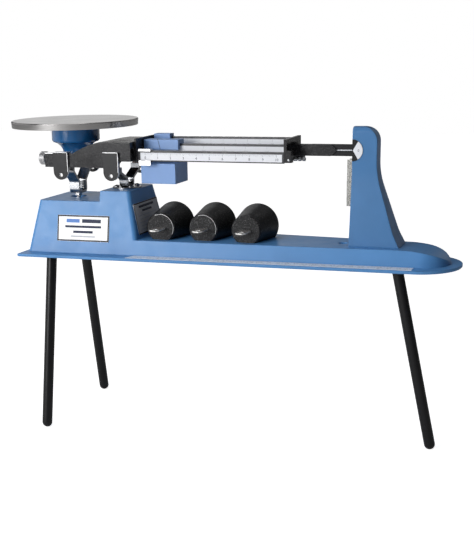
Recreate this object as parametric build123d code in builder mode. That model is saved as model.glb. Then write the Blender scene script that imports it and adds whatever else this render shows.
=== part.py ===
from build123d import *
import math
import os

# A triple beam balance on three screw-in rods.  Millimetres, +Z up, the beam along X with the pan at -X,
# Y = 0 is the plane of symmetry, and Z = 0 is the surface that the rods stand on.

os.makedirs("parts", exist_ok=True)

# ---------------------------------------------------------------- driving dimensions
LENGTH = 530.0              # rim of the pan to the right tip of the base
PAN_D = 150.0
PIVOT_ARM = 65.0            # pan knife edge to main knife edge
PIVOT_Z = 314.0             # height of both knife edges
LINK_Z = 245.0              # height of the check link, inside the pedestal
SWING = 2.5                 # degrees that the beam swings each way

PAN_X = -LENGTH / 2 + PAN_D / 2
MAIN_X = PAN_X + PIVOT_ARM
TIP_X = LENGTH / 2

# heights of the base casting
FLANGE_Z = 208.5            # underside
WALL_Z = 212.0              # top of the flange, foot of the walls
DECK_Z = 229.2
STEP_Z = 271.5
PEDESTAL_Z = 283.5
COLUMN_Z = 355.5
WALL = 3.0                  # thickness of the casting
DRAFT = 11.3                # every wall leans in by this angle
DRAFT_SLOPE = math.tan(math.radians(DRAFT))

# plan of the base: half widths at X_REF, narrowing to the right
X_REF = -140.0
SIDE_SLOPE = 0.056
WALL_HALF = 49.9
FLANGE_HALF = 66.9
BODY_LEFT = -233.0
BODY_RIGHT = 253.0
FLANGE_LEFT = -237.2
PEDESTAL_RIGHT = -91.5      # at the foot of the walls
STEP_X = -142.5

# column
COLUMN_LEFT = 146.5
COLUMN_FOOT_HALF = 18.5
COLUMN_HALF = 9.0           # half thickness of its upper part
COLUMN_WALL = 2.5
KNEE_Z = 304.0              # where the upright upper part begins

# rods
LEG_R = 6.1
LEG_LENGTH = 210.0          # centre of the round tip to the shoulder
LEG_STUD_R = 4.0
LEG_STUD = 10.0
LEG_SPLAY_SIDE = 10.06
LEG_SPLAY_END = 12.1
LEFT_LEG_X = -208.6
LEFT_LEG_Y = 76.5
RIGHT_LEG_X = 238.7

# beam
YOKE_HALF = 38.0
YOKE_BAR = 6.5
YOKE_LEFT = -212.0
YOKE_RIGHT = -101.0
YOKE_BOTTOM = 310.0
BEAM_PITCH = 24.0
BEAM_T = 3.0
BEAM_H = 12.2
BEAM_STEP = 5.9             # each beam stands this much above the one in front of it
FRONT_BEAM_Z = 317.3
BEAM_LEFT = -98.5
BEAM_RIGHT = 76.0
SCALE_T = 0.6
POINTER_Z = 330.0
ZERO_Z = 316.0              # axis of the zero screw


# ---------------------------------------------------------------- helpers
def save(builder, name):
    """Label a finished piece and write it as parts/NAME.step."""
    builder.part.label = name
    export_step(builder.part, f"parts/{name}.step")


def polygon(points, radius=0.0, corners=()):
    """Closed straight-sided sketch in local axes, with the numbered corners rounded."""
    with BuildSketch() as shape:
        with BuildLine():
            Polyline(*points, close=True)
        make_face()
        if corners:
            chosen = [min(shape.vertices(), key=lambda v: (v.X - points[i][0]) ** 2
                          + (v.Y - points[i][1]) ** 2) for i in corners]
            fillet(chosen, radius=radius)
    return shape.sketch


def plate_xz(outline, y_low, y_high):
    """Plate whose outline is drawn in X and Z and which runs from y_low to y_high."""
    with BuildPart() as plate:
        with BuildSketch(Plane.XZ.offset(-y_high)):
            add(outline)
        extrude(amount=y_high - y_low)
    return plate.part


def plate_yz(outline, x_low, x_high):
    """Plate whose outline is drawn in Y and Z and which runs from x_low to x_high."""
    with BuildPart() as plate:
        with BuildSketch(Plane.YZ.offset(x_low)):
            add(outline)
        extrude(amount=x_high - x_low)
    return plate.part


def block(low, high):
    """Box between two opposite corners."""
    centre = tuple((a + b) / 2 for a, b in zip(low, high))
    size = tuple(b - a for a, b in zip(low, high))
    with BuildPart() as solid:
        with Locations(centre):
            Box(*size)
    return solid.part


def rod_along(plane, radius, length):
    """Round rod that starts at the plane's origin and runs along its normal."""
    with BuildPart() as solid:
        with BuildSketch(plane):
            Circle(radius)
        extrude(amount=length)
    return solid.part


def mirrored(part):
    """The part with its mirror image across Y = 0, as separate solids."""
    with BuildPart() as pair:
        add(part)
        mirror(about=Plane.XZ)
    return pair


# ---------------------------------------------------------------- base casting
def half_at(x, half):
    """Half width at station x of an outline that is `half` wide at X_REF."""
    return half - SIDE_SLOPE * (x - X_REF)


def plan_outline(x_left, x_right, half, inset=0.0):
    """Plan of the base: square left end, sides that close in, and a round right end."""
    centre = (x_right - half - SIDE_SLOPE * X_REF) / (1 - SIDE_SLOPE)
    wide = half_at(x_left, half)
    round_r = half_at(centre, half)
    with BuildSketch() as plan:
        with BuildLine():
            Polyline((centre, round_r), (x_left, wide), (x_left, -wide), (centre, -round_r))
            ThreePointArc((centre, -round_r), (centre + round_r, 0), (centre, round_r))
        make_face()
        if inset:
            offset(amount=-inset, kind=Kind.INTERSECTION)
    return plan.sketch


def pedestal_plan(inset=0.0):
    """Plan of the pedestal at the foot of the walls."""
    wide = half_at(BODY_LEFT, WALL_HALF)
    narrow = half_at(PEDESTAL_RIGHT, WALL_HALF)
    with BuildSketch() as plan:
        with BuildLine():
            Polyline((BODY_LEFT, wide), (BODY_LEFT, -wide), (PEDESTAL_RIGHT, -narrow),
                     (PEDESTAL_RIGHT, narrow), close=True)
        make_face()
        if inset:
            offset(amount=-inset, kind=Kind.INTERSECTION)
    return plan.sketch


DOME_START = 205.0


def hull(inset=0.0):
    """Closed form of the casting, or of the space inside it: deck, domed end, stepped pedestal."""
    deck = DECK_Z - inset
    dome_x = BODY_RIGHT - inset - DOME_START
    dome_z = deck - WALL_Z
    with BuildPart() as form:
        with BuildSketch(Plane.XY.offset(WALL_Z)):
            add(plan_outline(BODY_LEFT, BODY_RIGHT, WALL_HALF, inset))
        extrude(amount=deck - WALL_Z, taper=DRAFT)
        with BuildSketch(Plane.XZ):
            with BuildLine():
                EllipticalCenterArc((DOME_START, WALL_Z), dome_x, dome_z, 0, arc_size=90)
                Polyline((DOME_START, deck), (DOME_START, deck + WALL), (TIP_X, deck + WALL),
                         (TIP_X, WALL_Z), (DOME_START + dome_x, WALL_Z))
            make_face()
        extrude(amount=FLANGE_HALF, both=True, mode=Mode.SUBTRACT)
        with BuildSketch(Plane.XY.offset(WALL_Z)):
            add(pedestal_plan(inset))
        extrude(amount=PEDESTAL_Z - inset - WALL_Z, taper=DRAFT)
        add(block((BODY_LEFT, -FLANGE_HALF, STEP_Z - inset), (STEP_X + inset, FLANGE_HALF, PEDESTAL_Z)),
            mode=Mode.SUBTRACT)
        if not inset:
            upright = form.edges().filter_by(lambda e: abs((e @ 1 - e @ 0).Z) > 0.9 * e.length
                                             and e.length > 40)
            fillet(upright, radius=5.0)
    return form.part


def leg_plane(tip_x, tip_y, lean_x, lean_y):
    """Plane at the centre of a rod's tip, facing up along the rod as it leans in by two slopes."""
    return Plane(origin=(tip_x, tip_y, LEG_R), z_dir=(lean_x, lean_y, 1))


SIDE_LEAN = math.tan(math.radians(LEG_SPLAY_SIDE))
END_LEAN = math.tan(math.radians(LEG_SPLAY_END))
LEG_PLANES = {
    "front_left_leg": leg_plane(LEFT_LEG_X, -LEFT_LEG_Y, 0, SIDE_LEAN),
    "rear_left_leg": leg_plane(LEFT_LEG_X, LEFT_LEG_Y, 0, -SIDE_LEAN),
    "right_leg": leg_plane(RIGHT_LEG_X, 0, -END_LEAN, 0),
}
LEG_BOSS_R = 9.0
COLUMN_SCREW_X = (155.0, 172.0)
ROD_HOLE_X = 136.0
ROD_HOLE_R = 5.25
PAN_HOLE_R = 10.0

outer_form = hull()

with BuildPart() as leg_bosses:
    for boss_plane in LEG_PLANES.values():
        add(rod_along(boss_plane.offset(LEG_LENGTH), LEG_BOSS_R, 80.0))
    add(outer_form, mode=Mode.INTERSECT)

with BuildPart() as base_shell:
    add(outer_form)
    with BuildSketch(Plane.XY.offset(FLANGE_Z)):
        add(plan_outline(FLANGE_LEFT, TIP_X, FLANGE_HALF))
    extrude(amount=WALL_Z - FLANGE_Z)
    rim = base_shell.edges().group_by(Axis.Z)[0]
    chamfer(rim, length=0.8)
    add(hull(WALL), mode=Mode.SUBTRACT)
    with BuildSketch(Plane.XY.offset(FLANGE_Z)):
        add(plan_outline(BODY_LEFT, BODY_RIGHT, WALL_HALF, WALL))
    extrude(amount=WALL_Z - FLANGE_Z, mode=Mode.SUBTRACT)
    add(leg_bosses.part)
    for boss_plane in LEG_PLANES.values():
        add(rod_along(boss_plane.offset(LEG_LENGTH - 3.0), LEG_STUD_R, LEG_STUD + 4.0), mode=Mode.SUBTRACT)
    with Locations((PAN_X, 0, STEP_Z)):
        Cylinder(PAN_HOLE_R, 4 * WALL, mode=Mode.SUBTRACT)
    with Locations((ROD_HOLE_X, 0, DECK_Z)):
        Cylinder(ROD_HOLE_R, 4 * WALL, mode=Mode.SUBTRACT)
    with Locations(*[(x, 0, DECK_Z) for x in COLUMN_SCREW_X]):
        Cylinder(2.2, 4 * WALL, mode=Mode.SUBTRACT)
save(base_shell, "base_shell")


# ---------------------------------------------------------------- rods to stand on
def leg(plane):
    """Plain rod with a round tip and a threaded stud, standing along the plane's normal."""
    with BuildPart(plane) as rod:
        with BuildSketch(plane):
            Circle(LEG_R)
        extrude(amount=LEG_LENGTH)
        with BuildSketch(plane.offset(LEG_LENGTH)):
            Circle(LEG_STUD_R)
        extrude(amount=LEG_STUD)
        Sphere(LEG_R)
    return rod


for leg_name, standing in LEG_PLANES.items():
    save(leg(standing), leg_name)


# ---------------------------------------------------------------- column
def column_side(inset=0.0):
    """Column seen from the front: square left edge, round top corner, foot that sweeps out."""
    left = COLUMN_LEFT - (20.0 if inset else 0.0)
    top = COLUMN_Z - inset
    foot = DECK_Z + inset
    points = [(left, foot), (left, top), (173.0 - inset, top), (173.0 - inset, 306.0),
              (193.5 - inset, 244.0), (201.0 - inset, foot)]
    with BuildSketch() as side:
        add(polygon(points))
        corner = side.vertices().sort_by(Axis.Y)[-2:].sort_by(Axis.X)[-1]
        fillet(corner, radius=16.0 - inset)
        knee = side.vertices().sort_by(lambda v: abs(v.Y - 306.0))[0]
        fillet(knee, radius=90.0)
        ankle = side.vertices().sort_by(lambda v: abs(v.Y - 244.0) + abs(v.X - 193.5 + inset))[0]
        fillet(ankle, radius=45.0)
    return side.sketch


def column_end(inset=0.0):
    """Column seen along the beam: thin and upright above, spreading to the deck below."""
    foot = DECK_Z - (1.0 if inset else 0.0)
    half = COLUMN_HALF - inset
    right = [(COLUMN_FOOT_HALF - inset, foot), (half, KNEE_Z), (half, COLUMN_Z - inset)]
    left = [(-y, z) for y, z in reversed(right)]
    with BuildSketch() as end:
        add(polygon(right + left))
        fillet(end.vertices().group_by(Axis.Y)[-1], radius=6.0 - inset)
        fillet(end.vertices().filter_by(lambda v: abs(v.Y - KNEE_Z) < 1), radius=120.0)
    return end.sketch


with BuildPart() as column_cavity:
    add(plate_xz(column_side(COLUMN_WALL), -60.0, 60.0))
    add(plate_yz(column_end(COLUMN_WALL), 100.0, TIP_X), mode=Mode.INTERSECT)

with BuildPart() as column_housing:
    add(plate_xz(column_side(), -60.0, 60.0))
    add(plate_yz(column_end(), 100.0, TIP_X), mode=Mode.INTERSECT)
    add(column_cavity.part, mode=Mode.SUBTRACT)
    with Locations(*[(x, 0, DECK_Z + 6.0) for x in COLUMN_SCREW_X]):
        Cylinder(4.5, 12.0)
    with Locations(*[(x, 0, DECK_Z + 4.5) for x in COLUMN_SCREW_X]):
        Cylinder(2.0, 9.0, mode=Mode.SUBTRACT)
save(column_housing, "column_housing")

with BuildPart() as column_screws:
    with Locations(*[(x, 0, DECK_Z + 2.5) for x in COLUMN_SCREW_X]):
        Cylinder(1.97, 11.5)
    with Locations(*[(x, 0, DECK_Z - WALL - 1.2) for x in COLUMN_SCREW_X]):
        Cylinder(3.8, 2.4)
save(column_screws, "column_screws")

SCALE_DISC_R = 11.5
SCALE_Z = 330.9
with BuildPart() as pointer_scale:
    with BuildSketch(Plane.XZ.offset(COLUMN_HALF)):
        with Locations((COLUMN_LEFT, SCALE_Z)):
            Circle(SCALE_DISC_R)
        with Locations((COLUMN_LEFT - SCALE_DISC_R, SCALE_Z)):
            Rectangle(2 * SCALE_DISC_R, 3 * SCALE_DISC_R, mode=Mode.SUBTRACT)
    extrude(amount=0.6)
save(pointer_scale, "pointer_scale")


# ---------------------------------------------------------------- labels and ruler
def wall_plane(x, z, side=-1):
    """Plane on the outside of the front wall at station x and height z, its x axis along the wall."""
    y = side * (half_at(x, WALL_HALF) - DRAFT_SLOPE * (z - WALL_Z))
    return Plane(origin=(x, y, z), x_dir=(1, -side * SIDE_SLOPE, 0), z_dir=(SIDE_SLOPE, side, DRAFT_SLOPE))


with BuildPart() as name_label:
    with BuildSketch(wall_plane(-162.0, 240.5)):
        RectangleRounded(66.0, 30.4, 1.5)
    extrude(amount=0.5)
save(name_label, "name_label")

DATA_LABEL_Z = 251.0
data_label_x = PEDESTAL_RIGHT - DRAFT_SLOPE * (DATA_LABEL_Z - WALL_Z)
with BuildPart() as data_label:
    with BuildSketch(Plane(origin=(data_label_x, 0, DATA_LABEL_Z), x_dir=(0, 1, 0), z_dir=(1, 0, DRAFT_SLOPE))):
        RectangleRounded(66.0, 36.0, 1.5)
    extrude(amount=0.5)
save(data_label, "data_label")

RULER_LEFT = -96.0
RULER_RIGHT = 219.5
RULER_WIDE = 13.0
RULER_EDGE = 2.5            # from the edge of the flange


def flange_front(x, step_in):
    """Point beside the front edge of the flange."""
    return (x, -half_at(x, FLANGE_HALF) + step_in)


with BuildPart() as ruler_strip:
    with BuildSketch(Plane.XY.offset(WALL_Z)):
        with BuildLine():
            Polyline(flange_front(RULER_LEFT - 5.0, RULER_EDGE), flange_front(RULER_RIGHT, RULER_EDGE),
                     flange_front(RULER_RIGHT, RULER_EDGE + RULER_WIDE),
                     flange_front(RULER_LEFT, RULER_EDGE + RULER_WIDE), close=True)
        make_face()
    extrude(amount=0.4)
save(ruler_strip, "ruler_strip")

# ---------------------------------------------------------------- fulcrum stand
STAND_DISC_R = 17.0
STAND_DISC_T = 1.6
STRAP_T = 3.0
KNIFE_Y = 27.0              # middle of each knife edge
BEARING_H = 6.0
BEARING_TOP = PIVOT_Z + 1.5
SCREW_SPOTS = [(MAIN_X + dx, dy) for dx in (-9.0, 9.0) for dy in (-9.0, 9.0)]

with BuildPart() as stand_plate:
    with Locations((MAIN_X, 0, PEDESTAL_Z + STAND_DISC_T / 2)):
        Cylinder(STAND_DISC_R, STAND_DISC_T)
save(stand_plate, "stand_plate")


def stirrup_outline(foot_z, *side):
    """U-shaped strap seen along the beam: a flat foot and sides through the given points."""
    side = [(0, foot_z), *side]
    with BuildSketch() as shape:
        with BuildLine() as middle:
            FilletPolyline(*[(-y, z) for y, z in reversed(side[1:])], *side[1:], radius=4.0)
        trace(line_width=STRAP_T)
    return shape.sketch


stand_foot_z = PEDESTAL_Z + STAND_DISC_T + STRAP_T / 2
bearing_seat = BEARING_TOP - BEARING_H
with BuildPart() as fulcrum_stand:
    add(plate_yz(stirrup_outline(stand_foot_z, (7.5, stand_foot_z), (8.0, 295.0), (KNIFE_Y, 304.5)),
                 MAIN_X - 5.5, MAIN_X + 5.5))
    for side in (-1, 1):
        add(block((MAIN_X - 5.5, side * KNIFE_Y - 4.0, 303.5), (MAIN_X + 5.5, side * KNIFE_Y + 4.0, bearing_seat)))
save(fulcrum_stand, "fulcrum_stand")

with BuildPart() as stand_screws:
    with Locations(*[(x, y, PEDESTAL_Z + STAND_DISC_T + 1.2) for x, y in SCREW_SPOTS]):
        Cylinder(2.8, 2.4)
    fillet(stand_screws.edges().group_by(Axis.Z)[-1], radius=1.0)
save(stand_screws, "stand_screws")


def vee_block(x, z_seat, opening_up):
    """Agate bearing 7 mm along the beam with a shallow V that the knife edge rocks in."""
    sign = 1 if opening_up else -1
    top = z_seat + sign * BEARING_H
    points = [(-3.5, z_seat), (3.5, z_seat), (3.5, top), (2.0, top), (0, top - sign * 1.5 - sign * 0.1),
              (-2.0, top), (-3.5, top)]
    return polygon([(x + px, pz) for px, pz in points])


with BuildPart() as front_main_bearing:
    add(plate_xz(vee_block(MAIN_X, bearing_seat, True), -KNIFE_Y - 3.0, -KNIFE_Y + 3.0))
main_bearings = mirrored(front_main_bearing.part)
save(main_bearings, "main_bearings")

# ---------------------------------------------------------------- beam casting
BAR_IN = YOKE_HALF - YOKE_BAR
with BuildSketch() as yoke_side:
    with BuildLine():
        Polyline((-175.0, 326.0), (YOKE_LEFT, 326.5), (YOKE_LEFT, YOKE_BOTTOM), (-121.0, YOKE_BOTTOM),
                 (-115.0, 317.8), (YOKE_RIGHT, 317.8), (YOKE_RIGHT, 339.2), (-138.0, 339.2))
        ThreePointArc((-138.0, 339.2), (-157.6, 334.0), (-175.0, 326.0))
    make_face()

with BuildPart() as beam_casting:
    add(plate_xz(yoke_side.sketch, -YOKE_HALF, -BAR_IN))
    add(plate_xz(yoke_side.sketch, BAR_IN, YOKE_HALF))
    add(block((YOKE_LEFT, -YOKE_HALF, YOKE_BOTTOM), (YOKE_LEFT + 6.5, YOKE_HALF, 321.0)))
    add(block((YOKE_RIGHT - 7.0, -YOKE_HALF, 317.8), (YOKE_RIGHT, YOKE_HALF, 339.2)))
    with BuildSketch(Plane.XZ.offset(-BAR_IN)):
        with BuildLine():
            Polyline((-138.0, 339.2), (YOKE_RIGHT, 339.2), (YOKE_RIGHT, 336.4), (-138.0, 336.4))
            ThreePointArc((-138.0, 336.4), (-146.0, 335.2), (-154.0, 332.4))
            Polyline((-154.0, 332.4), (-154.0, 335.4))
            ThreePointArc((-154.0, 335.4), (-146.0, 338.1), (-138.0, 339.2))
        make_face()
    extrude(amount=2 * BAR_IN)
    with BuildSketch(Plane.YZ.offset(YOKE_RIGHT)):
        with Locations((-31.0, 329.0), (31.0, 329.0), (-12.0, 329.0), (12.0, 329.0)):
            Circle(3.5)
    extrude(amount=-7.0, mode=Mode.SUBTRACT)
    with BuildSketch(Plane.YZ.offset(YOKE_LEFT)):
        with Locations((0, ZERO_Z)):
            Circle(2.0)
    extrude(amount=6.5, mode=Mode.SUBTRACT)
    for station in (PAN_X, MAIN_X):
        for side in (-1, 1):
            add(block((station - 3.0, side * (BAR_IN + YOKE_BAR / 2) - YOKE_BAR / 2, PIVOT_Z - 4.0),
                      (station + 3.0, side * (BAR_IN + YOKE_BAR / 2) + YOKE_BAR / 2, PIVOT_Z + 4.0)),
                mode=Mode.SUBTRACT)
save(beam_casting, "beam_casting")


def knife(station, edge_up):
    """Steel knife edge: a square shank in the side bar and a wedge that stands inside the frame."""
    sign = 1 if edge_up else -1
    wedge = polygon([(station, PIVOT_Z), (station + 2.8, PIVOT_Z - sign * 4.0),
                     (station - 2.8, PIVOT_Z - sign * 4.0)])
    with BuildPart() as solid:
        add(plate_xz(wedge, -BAR_IN, -BAR_IN + 8.0))
        add(block((station - 3.0, -YOKE_HALF, PIVOT_Z - 4.0), (station + 3.0, -BAR_IN, PIVOT_Z + 4.0)))
    return solid.part


main_knife_edges = mirrored(knife(MAIN_X, False))
save(main_knife_edges, "main_knife_edges")
pan_knife_edges = mirrored(knife(PAN_X, True))
save(pan_knife_edges, "pan_knife_edges")

GUARD_W = 19.0
GUARD_T = 3.0


def guard_plate(station, top):
    """Guard over one end of a knife edge: a tongue with a round end, a hole and a bent top edge."""
    with BuildSketch() as tongue:
        with BuildLine():
            Polyline((station - GUARD_W / 2, 305.0), (station - GUARD_W / 2, top), (station + GUARD_W / 2, top),
                     (station + GUARD_W / 2, 305.0))
            ThreePointArc((station + GUARD_W / 2, 305.0), (station, 295.8), (station - GUARD_W / 2, 305.0))
        make_face()
        with Locations((station, 301.3)):
            Circle(2.3, mode=Mode.SUBTRACT)
    return plate_xz(tongue.sketch, -YOKE_HALF - GUARD_T, -YOKE_HALF)


main_guards = mirrored(guard_plate(MAIN_X, 328.0))
save(main_guards, "main_guards")
with BuildPart() as pan_guard:
    add(guard_plate(PAN_X, 327.5))
    add(block((PAN_X - GUARD_W / 2, -YOKE_HALF, 326.5), (PAN_X + GUARD_W / 2, -BAR_IN, 327.5)))
pan_guards = mirrored(pan_guard.part)
save(pan_guards, "pan_guards")

# ---------------------------------------------------------------- zero adjustment
ZERO_SCREW_R = 1.95
KNOB_R = 7.7
KNOB_LEFT = -238.6
KNOB_L = 8.0
SCREW_LEFT = -241.5
with BuildPart() as zero_screw:
    with BuildSketch(Plane.YZ.offset(SCREW_LEFT)):
        with Locations((0, ZERO_Z)):
            Circle(ZERO_SCREW_R)
    extrude(amount=YOKE_LEFT + 6.5 - SCREW_LEFT)
save(zero_screw, "zero_screw")

with BuildPart() as zero_knob:
    with BuildSketch(Plane.YZ.offset(KNOB_LEFT)):
        with Locations((0, ZERO_Z)):
            Circle(KNOB_R)
            Circle(ZERO_SCREW_R + 0.05, mode=Mode.SUBTRACT)
    extrude(amount=KNOB_L)
    chamfer(zero_knob.edges().filter_by(GeomType.CIRCLE).filter_by(lambda e: e.radius > 5.0), length=0.8)
save(zero_knob, "zero_knob")

# ---------------------------------------------------------------- beams and their scales
BEAMS = {
    "front_beam": (-BEAM_PITCH, FRONT_BEAM_Z),
    "middle_beam": (0.0, FRONT_BEAM_Z + BEAM_STEP),
    "rear_beam": (BEAM_PITCH, FRONT_BEAM_Z + 2 * BEAM_STEP),
}
NOTCH_PITCH = {"middle_beam": 25.0, "rear_beam": 14.8}
NOTCH_COUNT = {"middle_beam": 6, "rear_beam": 11}
MIDDLE_POISE_X = -76.0
REAR_POISE_X = -85.5
RIDER_X = -88.0
NOTCH_START = {"middle_beam": MIDDLE_POISE_X, "rear_beam": REAR_POISE_X}

with BuildPart() as root_bracket:
    with BuildSketch(Plane.YZ.offset(YOKE_RIGHT)):
        with Locations((0, 329.5)):
            Rectangle(54.0, 26.5)
        with Locations((-12.0, 329.0), (12.0, 329.0)):
            Circle(3.5, mode=Mode.SUBTRACT)
    extrude(amount=BEAM_LEFT - YOKE_RIGHT)
save(root_bracket, "root_bracket")

for beam_name, (beam_y, beam_z) in BEAMS.items():
    with BuildPart() as beam_bar:
        add(block((BEAM_LEFT, beam_y - BEAM_T / 2, beam_z), (BEAM_RIGHT, beam_y + BEAM_T / 2, beam_z + BEAM_H)))
        if beam_name in NOTCH_PITCH:
            notch_x = [NOTCH_START[beam_name] + NOTCH_PITCH[beam_name] * k
                       for k in range(NOTCH_COUNT[beam_name])]
            with BuildSketch(Plane.XZ.offset(-beam_y)):
                with Locations(*[(x, beam_z + BEAM_H) for x in notch_x]):
                    RegularPolygon(radius=1.6, side_count=4)
            extrude(amount=-BEAM_T, mode=Mode.SUBTRACT)
    save(beam_bar, beam_name)
    face_y = beam_y - BEAM_T / 2
    with BuildPart() as scale_strip:
        add(block((BEAM_LEFT + 4.5, face_y - SCALE_T, beam_z + 1.4), (BEAM_RIGHT - 2.0, face_y, beam_z + 9.7)))
    save(scale_strip, beam_name.replace("beam", "scale"))

# ---------------------------------------------------------------- right end of the beams
BRACKET_T = 3.5
BRACKET_LOW = 318.3
BRACKET_HIGH = 343.4
with BuildPart() as end_bracket:
    add(block((BEAM_RIGHT, -26.5, BRACKET_LOW), (BEAM_RIGHT + BRACKET_T, 26.5, BRACKET_HIGH)))
    add(block((BEAM_RIGHT + BRACKET_T, -26.5, BRACKET_LOW), (BEAM_RIGHT + 8.5, -19.0, 331.0)))
    add(block((BEAM_RIGHT + BRACKET_T, 19.0, BRACKET_LOW), (BEAM_RIGHT + 8.5, 26.5, 331.0)))
save(end_bracket, "end_bracket")

pin_x = BEAM_RIGHT + BRACKET_T
PIN_Z = 319.8
with BuildPart() as hanging_pin:
    with BuildSketch(Plane.XZ):
        with BuildLine():
            Polyline((pin_x, PIN_Z), (pin_x, PIN_Z + 2.2), (pin_x + 3.2, PIN_Z + 2.2), (pin_x + 4.4, PIN_Z + 1.3),
                     (pin_x + 5.6, PIN_Z + 2.2), (pin_x + 8.0, PIN_Z + 2.2), (pin_x + 9.2, PIN_Z + 1.3),
                     (pin_x + 10.4, PIN_Z + 2.2), (pin_x + 12.8, PIN_Z + 2.2), (pin_x + 13.4, PIN_Z + 1.4),
                     (pin_x + 13.4, PIN_Z), close=True)
        make_face()
    revolve(axis=Axis((pin_x, 0, PIN_Z), (1, 0, 0)))
save(hanging_pin, "hanging_pin")

POINTER_H = 12.8
ARM_END = 127.0
ARM_T = 2.0
pointer_low = POINTER_Z - POINTER_H / 2
pointer_high = POINTER_Z + POINTER_H / 2
with BuildPart() as pointer_foot:
    add(plate_xz(polygon([(pin_x, 323.2), (pin_x + 10.0, 323.2), (pin_x + 4.0, 338.0), (pin_x, 338.0)]),
                 ARM_T / 2, 7.0))
save(pointer_foot, "pointer_foot")

with BuildPart() as pointer_arm:
    arm = polygon([(pin_x, pointer_low), (ARM_END - 6.5, pointer_low), (ARM_END, POINTER_Z - 1.0),
                   (ARM_END, POINTER_Z + 1.0), (ARM_END - 6.5, pointer_high), (pin_x, pointer_high)])
    add(plate_xz(arm, -ARM_T / 2, ARM_T / 2))
save(pointer_arm, "pointer_arm")

BLADE_T = 1.2
BLADE_END = 163.0
with BuildPart() as pointer_blade:
    blade = polygon([(100.0, pointer_low), (BLADE_END, pointer_low), (BLADE_END, pointer_high),
                     (100.0, pointer_high)])
    add(plate_xz(blade, ARM_T / 2, ARM_T / 2 + BLADE_T))
save(pointer_blade, "pointer_blade")

with BuildPart() as pointer_rivets:
    with BuildSketch(Plane.XZ.offset(-ARM_T / 2 - BLADE_T)):
        with Locations((104.0, POINTER_Z), (116.0, POINTER_Z)):
            Circle(2.0)
    extrude(amount=-1.0)
save(pointer_rivets, "pointer_rivets")

VANE_LOW = 288.0
with BuildPart() as damping_vane:
    add(block((152.0, ARM_T / 2 - 1.0, VANE_LOW), (BLADE_END, ARM_T / 2, pointer_high)))
save(damping_vane, "damping_vane")

# ---------------------------------------------------------------- magnetic damper
DAMPER_FOOT_Z = 271.0
DAMPER_TOP = 320.8
DAMPER_OUT = 6.2
DAMPER_IN = 4.7
DAMPER_LEFT = 140.5
with BuildPart() as damper_bracket:
    for side in (-1, 1):
        low_y, high_y = sorted((side * DAMPER_IN, side * DAMPER_OUT))
        add(block((DAMPER_LEFT, low_y, DAMPER_FOOT_Z), (160.0, high_y, DAMPER_TOP)))
        add(block((150.0, low_y, DECK_Z + COLUMN_WALL), (160.0, high_y, DAMPER_FOOT_Z)))
    add(block((150.0, -DAMPER_OUT, DAMPER_FOOT_Z), (160.0, DAMPER_OUT, DAMPER_FOOT_Z + 2.0)))
save(damper_bracket, "damper_bracket")

MAGNET_T = 1.8
with BuildPart() as front_magnet:
    add(block((144.0, -DAMPER_IN, 292.0), (158.0, -DAMPER_IN + MAGNET_T, 306.0)))
damper_magnets = mirrored(front_magnet.part)
save(damper_magnets, "damper_magnets")

# ---------------------------------------------------------------- sliding poises
MIDDLE_POISE_L = 42.5
REAR_POISE_L = 20.0
RIDER_L = 15.0
MIDDLE_TOP = FRONT_BEAM_Z + BEAM_STEP + BEAM_H
REAR_TOP = FRONT_BEAM_Z + 2 * BEAM_STEP + BEAM_H

with BuildPart() as front_rider:
    add(plate_yz(polygon([(-20.9, 315.4), (-20.9, 331.3), (-28.2, 331.3), (-28.2, 328.6), (-27.2, 328.6),
                          (-27.2, 330.1), (-21.9, 330.1), (-21.9, 316.6), (-27.2, 316.6), (-27.2, 318.4),
                          (-28.2, 318.4), (-28.2, 312.6), (-27.2, 312.6), (-27.2, 315.4)]),
                 RIDER_X - RIDER_L / 2, RIDER_X + RIDER_L / 2))
save(front_rider, "front_rider")

with BuildPart() as middle_poise:
    section = polygon([(-18.4, 291.0), (18.4, 291.0), (18.4, 314.0), (9.0, 314.0), (9.0, 340.0), (-8.0, 340.0),
                       (-8.0, 328.8), (-2.7, 328.8), (-2.7, MIDDLE_TOP + 0.5), (2.1, MIDDLE_TOP + 0.5),
                       (2.1, 314.0), (-18.4, 314.0)])
    add(plate_yz(section, MIDDLE_POISE_X - MIDDLE_POISE_L / 2, MIDDLE_POISE_X + MIDDLE_POISE_L / 2))
    long_edges = middle_poise.edges().filter_by(Axis.X).filter_by(
        lambda e: min(abs(abs(e.center().Y) - 18.4), abs(e.center().Z - 340.0)) < 0.01)
    fillet(long_edges, radius=0.8)
save(middle_poise, "middle_poise")

with BuildPart() as rear_poise:
    with BuildSketch(Plane.YZ.offset(REAR_POISE_X - REAR_POISE_L / 2)):
        add(polygon([(17.0, 322.0), (29.0, 322.0), (29.0, 344.6), (17.0, 344.6)], 0.8, (0, 1, 2, 3)))
        add(polygon([(21.3, REAR_TOP - BEAM_H - 0.5), (26.1, REAR_TOP - BEAM_H - 0.5),
                     (26.1, REAR_TOP + 0.5), (21.3, REAR_TOP + 0.5)]), mode=Mode.SUBTRACT)
    extrude(amount=REAR_POISE_L)
save(rear_poise, "rear_poise")

# ---------------------------------------------------------------- pan hanger
HANGER_W = 13.0
CROSS_LOW = PIVOT_Z + 4.5
CROSS_HIGH = CROSS_LOW + 5.0
STIRRUP_FOOT = 277.25
STIRRUP_TOP_HALF = 20.5

with BuildPart() as pan_crossbeam:
    add(block((PAN_X - HANGER_W / 2, -29.5, CROSS_LOW), (PAN_X + HANGER_W / 2, 29.5, CROSS_HIGH)))
    with Locations((PAN_X, 0, CROSS_HIGH)):
        Cylinder(2.0, 12.0, mode=Mode.SUBTRACT)
save(pan_crossbeam, "pan_crossbeam")

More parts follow.
